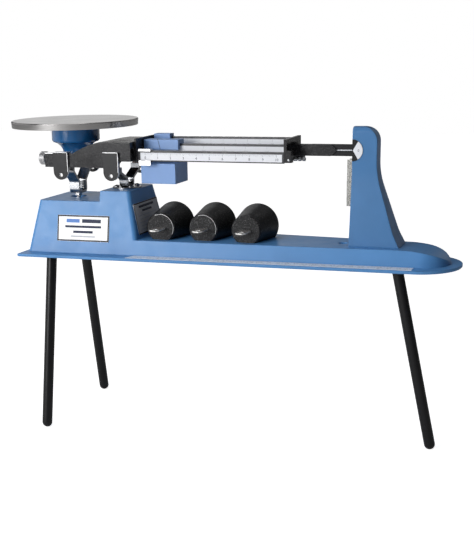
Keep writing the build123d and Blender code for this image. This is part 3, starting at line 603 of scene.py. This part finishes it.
def plane_matrix(origin: Point, x_dir: Point, normal: Point) -> Matrix:
    """Placing of a plane.

    Args:
        origin: point in metres.
        x_dir: direction of its x axis.
        normal: direction of its normal.

    Returns:
        The matrix that carries the plane's own axes into place.
    """
    z_axis = Vector(normal).normalized()
    x_axis = Vector(x_dir)
    x_axis = (x_axis - z_axis * x_axis.dot(z_axis)).normalized()
    y_axis = z_axis.cross(x_axis)
    matrix = Matrix((x_axis, y_axis, z_axis)).transposed().to_4x4()
    matrix.translation = Vector(origin)
    return matrix


def front_plane(origin: Point) -> Matrix:
    """Placing of an upright plane that faces the front, through a point in metres."""
    return plane_matrix(origin, (1, 0, 0), (0, -1, 0))


def finish_piece(obj: Object, body: str, material: Material) -> Object:
    """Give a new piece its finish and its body."""
    obj.data.materials.clear()
    obj.data.materials.append(material)
    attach(obj, body)
    LOG.info("%s rides on %s", obj.name, body)
    return obj


def merge(name: str, parts: Sequence[Object]) -> Object:
    """One object from several, which are removed."""
    work = bmesh.new()
    for part in parts:
        work.from_mesh(part.data)
        bpy.data.objects.remove(part)
    mesh = bpy.data.meshes.new(name)
    work.to_mesh(mesh)
    work.free()
    return mesh_object(name, mesh)


@dataclass
class Lettering:
    """Small printed numbers: flat text made into thin meshes on a plane."""

    height: float
    depth: float = 0.06

    def write(self, words: str, x: float, y: float, matrix: Matrix) -> Object:
        """One number.

        Args:
            words: the characters.
            x: centre along the plane, in millimetres.
            y: foot of the characters, in millimetres.
            matrix: the plane, in metres.

        Returns:
            The mesh object.
        """
        curve = bpy.data.curves.new("number", "FONT")
        curve.body = words
        curve.align_x = "CENTER"
        curve.size = self.height * 1.38 * MM
        curve.extrude = self.depth * MM / 2
        curve.resolution_u = 3
        holder = bpy.data.objects.new("number", curve)
        bpy.context.scene.collection.objects.link(holder)
        mesh = plain_mesh(holder)
        mesh.transform(matrix @ Matrix.Translation((x * MM, y * MM, self.depth * MM / 2)))
        return mesh_object("number_" + words, mesh)


@dataclass
class Repeater:
    """Geometry Nodes tree that sets copies of a shape in a row or round an axis parallel to X."""

    tree: bpy.types.NodeTree = field(init=False)
    sockets: dict[str, str] = field(default_factory=dict)

    def __post_init__(self) -> None:
        """Build the tree with its named inputs."""
        self.tree = bpy.data.node_groups.new("set_in_a_row", "GeometryNodeTree")
        kinds = {"Shape": "NodeSocketObject", "Count": "NodeSocketInt",
                 "Start": "NodeSocketVector", "Step": "NodeSocketVector",
                 "Turn": "NodeSocketFloat", "Finish": "NodeSocketMaterial"}
        face = self.tree.interface
        face.new_socket("Geometry", in_out="OUTPUT", socket_type="NodeSocketGeometry")
        for name, kind in kinds.items():
            self.sockets[name] = face.new_socket(name, in_out="INPUT", socket_type=kind).identifier
        nodes = self.tree.nodes
        link = self.tree.links.new
        given = nodes.new("NodeGroupInput")
        line = nodes.new("GeometryNodeMeshLine")
        line.mode = "OFFSET"
        link(given.outputs["Count"], line.inputs["Count"])
        link(given.outputs["Start"], line.inputs["Start Location"])
        link(given.outputs["Step"], line.inputs["Offset"])
        shape = nodes.new("GeometryNodeObjectInfo")
        link(given.outputs["Shape"], shape.inputs["Object"])
        index = nodes.new("GeometryNodeInputIndex")
        turn = nodes.new("ShaderNodeMath")
        turn.operation = "MULTIPLY"
        link(index.outputs[0], turn.inputs[0])
        link(given.outputs["Turn"], turn.inputs[1])
        angle = nodes.new("ShaderNodeCombineXYZ")
        link(turn.outputs[0], angle.inputs[0])
        copies = nodes.new("GeometryNodeInstanceOnPoints")
        link(line.outputs["Mesh"], copies.inputs["Points"])
        link(shape.outputs["Geometry"], copies.inputs["Instance"])
        link(angle.outputs[0], copies.inputs["Rotation"])
        real = nodes.new("GeometryNodeRealizeInstances")
        link(copies.outputs[0], real.inputs[0])
        coat = nodes.new("GeometryNodeSetMaterial")
        link(real.outputs[0], coat.inputs["Geometry"])
        link(given.outputs["Finish"], coat.inputs["Material"])
        out = nodes.new("NodeGroupOutput")
        link(coat.outputs[0], out.inputs[0])

    def lay(self, name: str, shape: Object, count: int, start: Point, step: Point,
            material: Material, turn: float = 0.0) -> Object:
        """Lay out one row and return it as a plain mesh.

        Args:
            name: object name.
            shape: the copied shape, near the origin; it is removed.
            count: how many copies.
            start: place of the first, in millimetres.
            step: from one to the next, in millimetres.
            material: finish of the copies.
            turn: angle about X from one to the next, in radians.

        Returns:
            The row as an object at the origin.
        """
        holder = mesh_object(name + "_row", bpy.data.meshes.new(name))
        modifier = holder.modifiers.new("row", "NODES")
        modifier.node_group = self.tree
        values = {"Shape": shape, "Count": count, "Start": tuple(v * MM for v in start),
                  "Step": tuple(v * MM for v in step), "Turn": turn, "Finish": material}
        for key, value in values.items():
            modifier[self.sockets[key]] = value
        mesh = plain_mesh(holder)
        bpy.data.objects.remove(shape)
        return mesh_object(name, mesh)


# ---------------------------------------------------------------- the base
@dataclass
class Base:
    """Casting, column, rods, labels and ruler."""

    palette: Palette
    repeater: Repeater
    side_slope: float = 0.056
    draft_slope: float = math.tan(math.radians(11.3))
    ruler_start: float = -94.0
    ruler_length: int = 310
    flange_half: float = 66.9
    flange_x: float = -140.0
    ruler_edge: float = 2.5
    ruler_top: float = 212.4
    ruler_ticks: Sequence[tuple[str, int, float, float]] = (
        ("fine", 1, 2.2, 0.16), ("half", 5, 3.4, 0.20), ("whole", 10, 4.6, 0.28))
    label_size: Pair = (66.0, 30.4)
    label_place: Point = (-0.162, -0.04544, 0.2405)
    data_size: Pair = (66.0, 36.0)
    data_place: Point = (-0.09929, 0.0, 0.251)
    label_sheet: float = 0.5
    border_inset: float = 0.15
    dial_place: Point = (0.1465, -0.0096, 0.3309)
    dial_radius: float = 11.3
    dial_half_turn: int = 56
    dial_step: int = 4
    screw_columns: Sequence[float] = (-134.0, -116.0)
    screw_half: float = 9.0
    screw_seat: float = 285.1
    screw_profile: Sequence[Pair] = ((0.0, 0.0), (0.0, 2.8), (0.5, 2.85), (1.3, 2.6), (2.0, 1.9),
                                       (2.35, 1.1), (2.35, 0.9), (1.7, 0.75), (1.5, 0.0))

    def dress_castings(self) -> None:
        """Paint the carried-over nodes of the base."""
        finish = self.palette
        coats = {"base_shell": finish.body, "column_housing": finish.column,
                 "column_screws": finish.steel, "pointer_scale": finish.black,
                 "name_label": finish.label, "data_label": finish.foil,
                 "ruler_strip": finish.label, "front_left_leg": finish.rod,
                 "rear_left_leg": finish.rod, "right_leg": finish.rod,
                 "stand_plate": finish.chrome, "fulcrum_stand": finish.chrome,
                 "stand_screws": finish.chrome, "main_bearings": finish.stone,
                 "damper_bracket": finish.damper, "damper_magnets": finish.magnet,
                 "check_bracket": finish.aluminium, "check_pin": finish.steel,
                 "check_link": finish.steel}
        dress_all(coats)

    def bars(self, name: str, rows: Sequence[tuple[float, float, float, float, Material]],
             matrix: Matrix) -> None:
        """Plain printed bars that stand for lines of words.

        Args:
            name: start of the objects' names.
            rows: centre x, centre y, width, height and ink of each bar, in millimetres.
            matrix: the label's face.
        """
        for number, (x, y, wide, high, ink) in enumerate(rows):
            bar = bevelled_block(f"{name}_{number}", (x - wide / 2, y - high / 2, 0.0),
                                 (x + wide / 2, y + high / 2, 0.08), 0.0, matrix)
            finish_piece(bar, "base", ink)

    def border(self, name: str, size: Pair, line: float, matrix: Matrix) -> None:
        """Dark printed border round a label."""
        half_x, half_y = (v / 2 - self.border_inset for v in size)
        sides = [((-half_x, -half_y), (half_x, -half_y + line)),
                 ((-half_x, half_y - line), (half_x, half_y)),
                 ((-half_x, -half_y + line), (-half_x + line, half_y - line)),
                 ((half_x - line, -half_y + line), (half_x, half_y - line))]
        parts = [bevelled_block(f"{name}_{i}", (*low, 0.0), (*high, 0.1), 0.0, matrix)
                 for i, (low, high) in enumerate(sides)]
        finish_piece(merge(name, parts), "base", self.palette.black)

    def labels(self) -> None:
        """Print the two labels with borders and plain bars."""
        ink, blue, grey = self.palette.ink, self.palette.blue_ink, self.palette.faint_ink
        above = Matrix.Translation((0, 0, self.label_sheet * MM))
        face = plane_matrix(self.label_place, (1, self.side_slope, 0),
                            (self.side_slope, -1, self.draft_slope)) @ above
        self.border("name_label_border", self.label_size, 1.7, face)
        self.bars("name_label_bar", [(-13.0, 8.6, 17.0, 4.2, blue), (10.5, 8.6, 24.0, 4.2, ink),
                                     (0.0, 1.9, 46.0, 2.6, ink), (0.0, -4.2, 25.0, 2.8, ink),
                                     (0.0, -9.4, 31.0, 1.7, grey)], face)
        slope = plane_matrix(self.data_place, (0, 1, 0), (1, 0, self.draft_slope)) @ above
        self.border("data_label_border", self.data_size, 1.2, slope)
        rows = [(0.0, 13.0, 40.0, 2.6, ink), (0.0, 8.0, 26.0, 2.2, ink)]
        rows += [(0.0, 3.0 - 4.0 * k, 52.0 - 5.0 * (k % 2), 1.3, grey) for k in range(5)]
        self.bars("data_label_bar", rows, slope)

    def ruler(self) -> None:
        """Ruler along the flange: ticks of three lengths and a number at every centimetre."""
        half_width = self.flange_half - self.side_slope * (self.ruler_start - self.flange_x)
        y_start = -half_width + self.ruler_edge
        matrix = plane_matrix((self.ruler_start * MM, y_start * MM, self.ruler_top * MM),
                              (1, self.side_slope, 0), (0, 0, 1))
        ink = self.palette.faint_ink
        for label, every, reach, width in self.ruler_ticks:
            tick = bevelled_block("ruler_tick", (-width / 2, 0.1, 0.0),
                                  (width / 2, reach, 0.05), 0.0)
            row = self.repeater.lay(f"ruler_{label}_ticks", tick, self.ruler_length // every + 1,
                                    (0, 0, 0), (every, 0, 0), ink)
            row.data.transform(matrix)
            finish_piece(row, "base", ink)
        writer = Lettering(4.2)
        numbers = [writer.write(str(n), 10.0 * n, 5.6, matrix)
                   for n in range(1, self.ruler_length // 10 + 1)]
        finish_piece(merge("ruler_numbers", numbers), "base", ink)

    def pointer_dial(self) -> None:
        """White sector and its zero on the black half disc."""
        matrix = front_plane(self.dial_place)
        turns = [math.radians(a) for a in
                 range(-self.dial_half_turn, self.dial_half_turn + 1, self.dial_step)]
        arc = [(self.dial_radius * math.cos(a), self.dial_radius * math.sin(a)) for a in turns]
        sector = prism("dial_sector", [(0.7, 0.0), *arc], 0.06, matrix)
        finish_piece(sector, "base", self.palette.scale)
        above = matrix @ Matrix.Translation((0, 0, 0.06 * MM))
        zero = Lettering(2.6, 0.05).write("0", 6.8, -1.3, above)
        zero.name = "dial_zero"
        finish_piece(zero, "base", self.palette.ink)

    def stand_screws(self) -> None:
        """Recessed screw heads on the stand's round plate, in place of the plain discs."""
        chrome = self.palette.chrome
        rows = []
        for x in self.screw_columns:
            head = lathe("screw_head", self.screw_profile, Matrix(), 24)
            start, step = (x, -self.screw_half, self.screw_seat), (0, 2 * self.screw_half, 0)
            rows.append(self.repeater.lay("stand_screw_pair", head, 2, start, step, chrome))
        screws = finish_piece(merge("stand_screw_heads", rows), "base", chrome)
        for face in screws.data.polygons:
            face.use_smooth = True
        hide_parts("stand_screws")

    def build(self) -> None:
        """Dress and build everything that stands still."""
        self.dress_castings()
        self.labels()
        self.ruler()
        self.pointer_dial()
        self.stand_screws()


# ---------------------------------------------------------------- the beam
@dataclass
class ScaleMarks:
    """Ticks and numbers of one beam."""

    beam: str
    face_y: float
    foot_z: float
    zero_x: float
    pitch: float
    numbers: Sequence[str]
    divisions: int
    digit: float
    ink: Material
    tick_top: float = 8.0
    number_foot: float = 1.4

    def build(self, repeater: Repeater) -> None:
        """Lay the ticks along the top of the scale and the numbers under them."""
        matrix = front_plane((self.zero_x * MM, self.face_y * MM, self.foot_z * MM))
        top = self.tick_top
        spans = len(self.numbers) - 1
        sets = [("whole", 1, 2.7, 0.26)]
        if self.divisions > 1:
            sets += [("half", 2, 2.1, 0.18), ("fine", self.divisions, 1.5, 0.14)]
        for label, parts, reach, width in sets:
            tick = bevelled_block("tick", (-width / 2, top - reach, 0.0),
                                  (width / 2, top, 0.05), 0.0)
            row = repeater.lay(f"{self.beam}_{label}_ticks", tick, spans * parts + 1,
                               (0, 0, 0), (self.pitch / parts, 0, 0), self.ink)
            row.data.transform(matrix)
            finish_piece(row, "beam", self.ink)
        writer = Lettering(self.digit)
        shapes = [writer.write(text, self.pitch * k, self.number_foot, matrix)
                  for k, text in enumerate(self.numbers)]
        finish_piece(merge(f"{self.beam}_numbers", shapes), "beam", self.ink)


@dataclass
class Beam:
    """Casting, beams, scales, pointer and everything else that swings."""

    palette: Palette
    repeater: Repeater
    pointer_line: tuple[Point, Point] = ((126.0, 0.75, 329.55), (150.0, 1.0, 330.45))
    lug_place: Point = (0.0818, 0.0265, 0.3213)
    lug_screw: Sequence[Pair] = ((-0.5, 0.0), (-0.5, 1.7), (0.3, 1.7), (0.8, 1.3), (0.95, 0.8),
                                   (0.95, 0.0))
    guard_tops: Sequence[Pair] = ((-190.0, 327.5), (-125.0, 328.0))
    guard_faces: Pair = (41.08, 38.3)
    guard_low: float = 305.0
    edge_bevel: float = 0.05
    knob_start: Point = (-238.2, 0.0, 316.0)
    knob_ridges: int = 48

    def dress_nodes(self) -> None:
        """Put the finishes on the carried-over nodes."""
        finish = self.palette
        coats = {"beam_casting": finish.casting, "main_knife_edges": finish.steel,
                 "pan_knife_edges": finish.steel, "main_guards": finish.guard,
                 "pan_guards": finish.guard, "zero_screw": finish.steel,
                 "root_bracket": finish.casting, "front_beam": finish.beam,
                 "middle_beam": finish.beam, "rear_beam": finish.beam,
                 "front_scale": finish.scale, "middle_scale": finish.scale,
                 "rear_scale": finish.scale, "end_bracket": finish.casting,
                 "hanging_pin": finish.chrome, "pointer_foot": finish.casting,
                 "pointer_arm": finish.casting, "pointer_blade": finish.black,
                 "pointer_rivets": finish.steel, "damping_vane": finish.aluminium,
                 "zero_knob": finish.knob}
        dress_all(coats)

    def scales(self) -> None:
        """Mark the three scales."""
        ScaleMarks("front", -26.1, 318.7, -88.0, 15.6, [str(n) for n in range(11)], 10, 2.9,
                   self.palette.ink).build(self.repeater)
        ScaleMarks("middle", -2.1, 324.6, -76.0, 25.0, [str(100 * n) for n in range(6)], 1, 2.6,
                   self.palette.faint_ink).build(self.repeater)
        ScaleMarks("rear", 21.9, 330.5, -85.5, 14.8, [str(10 * n) for n in range(11)], 1, 2.6,
                   self.palette.faint_ink).build(self.repeater)

    def pointer(self) -> None:
        """White line along the middle of the blade."""
        line = bevelled_block("pointer_line", *self.pointer_line, 0.0)
        finish_piece(line, "beam", self.palette.scale)

    def screws(self) -> None:
        """Round screw head on each lug of the end bracket."""
        x, y, z = self.lug_place
        for label, side in (("front", -1), ("rear", 1)):
            matrix = plane_matrix((x, side * y, z), (1, 0, 0), (0, side, 0))
            head = lathe(f"lug_screw_{label}", self.lug_screw, matrix, 24)
            finish_piece(head, "beam", self.palette.chrome)

    def guard_edges(self) -> None:
        """Bare edges: the top and right side of every guard, and the casting's left end."""
        boxes = []
        for side in (-1, 1):
            front, back = sorted(side * y for y in self.guard_faces)
            for x, top in self.guard_tops:
                boxes.append(((x - 9.55, front, top - 0.65), (x + 9.55, back, top + 0.08)))
                boxes.append(((x + 8.8, front, self.guard_low), (x + 9.58, back, top)))
            front, back = sorted((side * 38.08, side * 36.5))
            boxes.append(((-212.0, front, 325.4), (-199.4, back, 326.55)))
        strips = [bevelled_block("edge", *box, self.edge_bevel) for box in boxes]
        finish_piece(merge("guard_edges", strips), "beam", self.palette.nickel)

    def knurl(self) -> None:
        """Ridges round the zero knob."""
        upright = Matrix.Rotation(math.radians(90), 4, "X")
        along_x = Matrix.Rotation(math.radians(90), 4, "Z") @ upright
        ridge = prism("ridge", [(-0.26, 7.4), (0.26, 7.4), (0.0, 7.95)], 7.2, along_x)
        row = self.repeater.lay("knob_ridges", ridge, self.knob_ridges, self.knob_start, (0, 0, 0),
                                self.palette.knob, 2 * math.pi / self.knob_ridges)
        finish_piece(row, "zero_knob", self.palette.knob)

    def build(self) -> None:
        """Dress and build the swinging part."""
        self.dress_nodes()
        self.scales()
        self.pointer()
        self.screws()
        self.guard_edges()
        self.knurl()


# ---------------------------------------------------------------- poises, pan and weights
@dataclass
class Poises:
    """The three sliding masses."""

    palette: Palette
    index_place: Point = (-0.076, -0.008, 0.3288)
    index_line: Sequence[Pair] = ((-3.7, 11.9), (-4.3, 11.9), (-1.4, 0.3), (-0.8, 0.3))

    def build(self) -> None:
        """Dress them and print the index line of the middle one."""
        dress("front_rider", self.palette.nickel)
        dress("middle_poise", self.palette.poise)
        dress("rear_poise", self.palette.poise)
        line = prism("index_line", self.index_line, 0.05, front_plane(self.index_place))
        finish_piece(line, "middle_poise", self.palette.ink)


@dataclass
class PanHanger:
    """Pan, cup and stirrup."""

    palette: Palette

    def build(self) -> None:
        """Dress the hanging parts."""
        finish = self.palette
        coats = {"pan_crossbeam": finish.steel, "pan_stirrup": finish.chrome,
                 "pan_bearings": finish.stone, "hanger_stem": finish.aluminium,
                 "stem_nuts": finish.steel, "pan_cup": finish.cup, "cup_screw": finish.steel,
                 "stem_pin": finish.steel, "pan": finish.spun}
        dress_all(coats)


@dataclass
class Weights:
    """The three attachment weights."""

    palette: Palette
    # Painted highlights: nickel arcs on the front rims of the left and middle weights, by centre x,
    # centre y, first and last angle.
    worn: Sequence[tuple[str, float, float, int, int]] = (
        ("left", -69.1, -32.1, -25, 115), ("middle", -19.0, -26.7, -20, 110))
    face_z: float = 242.75
    rim_radii: Pair = (15.95, 15.5)
    rim_steps: int = 40

    def build(self) -> None:
        """Dress the weights and their hooks, and lay nickel arcs on two front rims as painted
        highlights.
        """
        for side in ("left", "middle", "right"):
            dress(f"{side}_weight", self.palette.weight)
            dress(f"{side}_hook", self.palette.hook)
        outer, inner = self.rim_radii
        # Each arc is a painted highlight on the chamfered front rim.
        for side, x, y, first, last in self.worn:
            turns = [math.radians(first + (last - first) * k / self.rim_steps)
                     for k in range(self.rim_steps + 1)]
            outline = [(outer * math.cos(a), outer * math.sin(a)) for a in turns]
            outline += [(inner * math.cos(a), inner * math.sin(a)) for a in reversed(turns)]
            face = front_plane((x * MM, y * MM, self.face_z * MM))
            rim = prism(f"{side}_worn_rim", outline, 0.12, face)
            finish_piece(rim, f"{side}_weight", self.palette.nickel)


# ---------------------------------------------------------------- studio
@dataclass
class Studio:
    """Floor, lights, surroundings and camera."""

    azimuth: float = 23.49
    elevation: float = 16.2
    roll: float = -1.61
    place: Point = (0.4196, -1.1177, 0.4448)
    lens: float = 68.0
    shift: Pair = (0.1074, 0.1274)
    floor_glow: float = 0.80
    dark_sky: Colour = (0.12, 0.12, 0.125)
    bright_sky: Colour = (0.95, 0.95, 0.95)
    sky_sides: tuple[float, float, float, float] = (-0.7, 0.7, 0.85, 0.10)

    def floor(self) -> None:
        """Pale floor."""
        work = bmesh.new()
        bmesh.ops.create_grid(work, x_segments=1, y_segments=1, size=4.0)
        floor = from_bmesh("floor", work)
        graph = Graph("floor_paper")
        graph.set(Base_Color=(0.93, 0.93, 0.93, 1.0), Roughness=0.9,
                  Emission_Color=(1.0, 1.0, 1.0, 1.0))
        seen = graph.add("ShaderNodeLightPath").outputs["Is Camera Ray"]
        graph.feed("Emission Strength", graph.math("MULTIPLY", seen, self.floor_glow))
        floor.data.materials.append(graph.material)

    def light(self, name: str, place: Point, target: Point, size: float, power: float) -> None:
        """Soft square light aimed at a point."""
        lamp = bpy.data.lights.new(name, "AREA")
        lamp.size = size
        lamp.energy = power
        obj = bpy.data.objects.new(name, lamp)
        obj.location = place
        obj.rotation_euler = (Vector(target) - Vector(place)).to_track_quat("-Z", "Y").to_euler()
        bpy.context.scene.collection.objects.link(obj)

    def surroundings(self) -> None:
        """White backdrop that reflects grey on some sides, so that bright metal has contrast."""
        world = bpy.data.worlds.new("studio")
        bpy.context.scene.world = world
        world.use_nodes = True
        nodes, links = world.node_tree.nodes, world.node_tree.links
        nodes.clear()
        way = nodes.new("ShaderNodeTexCoord")
        wave = nodes.new("ShaderNodeTexWave")
        wave.inputs["Scale"].default_value = 0.55
        wave.inputs["Distortion"].default_value = 0.6
        wave.inputs["Phase Offset"].default_value = 1.3
        links.new(way.outputs["Generated"], wave.inputs["Vector"])
        ramp = nodes.new("ShaderNodeValToRGB")
        ramp.color_ramp.elements[0].position = 0.25
        ramp.color_ramp.elements[0].color = (*self.dark_sky, 1.0)
        ramp.color_ramp.elements[1].position = 0.62
        ramp.color_ramp.elements[1].color = (*self.bright_sky, 1.0)
        links.new(wave.outputs["Fac"], ramp.inputs["Fac"])
        path = nodes.new("ShaderNodeLightPath")
        pick = nodes.new("ShaderNodeMix")
        pick.data_type = "RGBA"
        links.new(path.outputs["Is Camera Ray"], pick.inputs["Factor"])
        split = nodes.new("ShaderNodeSeparateXYZ")
        links.new(way.outputs["Generated"], split.inputs[0])
        side = nodes.new("ShaderNodeMapRange")
        for key, number in zip(RANGE_SOCKETS, self.sky_sides):
            side.inputs[key].default_value = number
        links.new(split.outputs[0], side.inputs["Value"])
        shaded = nodes.new("ShaderNodeVectorMath")
        shaded.operation = "SCALE"
        links.new(ramp.outputs["Color"], shaded.inputs[0])
        links.new(side.outputs["Result"], shaded.inputs["Scale"])
        links.new(shaded.outputs[0], pick.inputs[6])
        pick.inputs[7].default_value = (1.0, 1.0, 1.0, 1.0)
        shine = nodes.new("ShaderNodeBackground")
        links.new(pick.outputs[2], shine.inputs["Color"])
        shine.inputs["Strength"].default_value = 1.0
        out = nodes.new("ShaderNodeOutputWorld")
        links.new(shine.outputs[0], out.inputs["Surface"])

    def camera(self) -> None:
        """Camera at the viewing angle."""
        a, e, r = (math.radians(v) for v in (self.azimuth, self.elevation, self.roll))
        forward = Vector((-math.sin(a) * math.cos(e), math.cos(a) * math.cos(e), -math.sin(e)))
        right = Vector((math.cos(a), math.sin(a), 0.0))
        up = right.cross(forward)
        x_axis = right * math.cos(r) + up * math.sin(r)
        y_axis = up * math.cos(r) - right * math.sin(r)
        matrix = Matrix((x_axis, y_axis, -forward)).transposed().to_4x4()
        matrix.translation = Vector(self.place)
        lens = bpy.data.cameras.new("camera")
        lens.sensor_width = 36.0
        lens.lens = self.lens
        lens.shift_x, lens.shift_y = self.shift
        lens.clip_start = 0.01
        lens.clip_end = 30.0
        obj = bpy.data.objects.new("camera", lens)
        obj.matrix_world = matrix
        bpy.context.scene.collection.objects.link(obj)
        bpy.context.scene.camera = obj

    def build(self) -> None:
        """Set up the whole studio."""
        self.floor()
        self.surroundings()
        self.light("key", (-0.80, -1.55, 0.68), (-0.07, 0.0, 0.27), 0.8, 20.0)
        self.light("top", (-0.3, -0.3, 1.6), (-0.1, 0.0, 0.2), 1.0, 3.0)
        self.camera()
        bpy.context.scene.view_settings.view_transform = "Standard"


def main() -> None:
    """Build every sub-assembly in order."""
    logging.basicConfig(level=logging.INFO, format="%(name)s: %(message)s")
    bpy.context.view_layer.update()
    palette = Palette()
    repeater = Repeater()
    parts = (Base(palette, repeater), Beam(palette, repeater), Poises(palette),
             PanHanger(palette), Weights(palette), Studio())
    for part in parts:
        part.build()
        LOG.info("%s is built", type(part).__name__)


if __name__ == "__main__":
    main()
